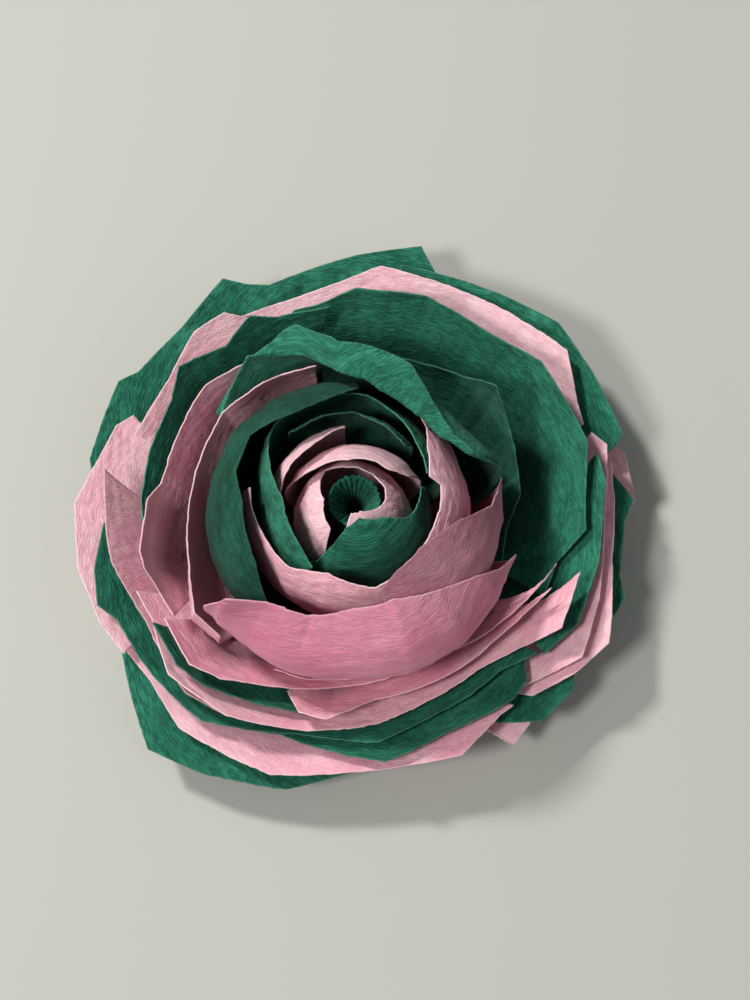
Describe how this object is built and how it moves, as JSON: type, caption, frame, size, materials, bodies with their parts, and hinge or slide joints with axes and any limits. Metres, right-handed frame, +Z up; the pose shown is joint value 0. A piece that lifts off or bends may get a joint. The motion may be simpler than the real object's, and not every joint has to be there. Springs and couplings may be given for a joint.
{
  "type": "crepe paper rose",
  "caption": "Open rose of pink and green crepe paper petals wrapped in layers round a rolled core and bound at the foot.",
  "frame": {"origin": "centre of the core's flat foot, which is the lowest face of the rose", "axes": "+Z up out of the bloom, +X to the right and +Y to the top of the picture"},
  "size_m": [0.0906, 0.0906, 0.0385],
  "materials": {
    "green_crepe": "matt crinkled crepe",
    "pink_crepe": "matt crinkled crepe",
    "binding_tape": "matt waxed paper tape"
  },
  "bodies": {
    "root": {"core_roll": "green_crepe", "centre_wrap_pink": "pink_crepe", "centre_band_pink": "pink_crepe", "centre_collar_pink": "pink_crepe", "centre_fold_green": "green_crepe", "centre_back_green": "green_crepe", "centre_ring_green": "green_crepe", "bud_inner_pink": "pink_crepe", "bud_inner_green": "green_crepe", "bud_right_pink": "pink_crepe", "bud_front_pink": "pink_crepe", "bud_left_pink": "pink_crepe", "bud_top_green": "green_crepe", "bud_right_green": "green_crepe", "front_petal_1": "pink_crepe", "front_petal_2": "pink_crepe", "front_petal_3": "pink_crepe", "front_petal_4": "green_crepe", "front_petal_5": "pink_crepe", "front_petal_6": "green_crepe", "front_petal_7": "green_crepe", "left_petal_1": "pink_crepe", "left_petal_2": "green_crepe", "left_petal_3": "pink_crepe", "back_petal_1": "green_crepe", "back_petal_2": "pink_crepe", "back_petal_3": "pink_crepe", "right_petal_1": "green_crepe", "right_petal_2": "pink_crepe", "right_petal_3": "pink_crepe", "outer_petal_1": "pink_crepe", "outer_petal_2": "green_crepe", "outer_petal_3": "green_crepe", "outer_petal_4": "green_crepe", "outer_petal_5": "pink_crepe", "outer_petal_6": "green_crepe", "outer_petal_7": "green_crepe", "outer_petal_8": "green_crepe", "outer_petal_9": "pink_crepe", "outer_petal_10": "pink_crepe", "foot_binding": "binding_tape"}
  },
  "joints": []
}
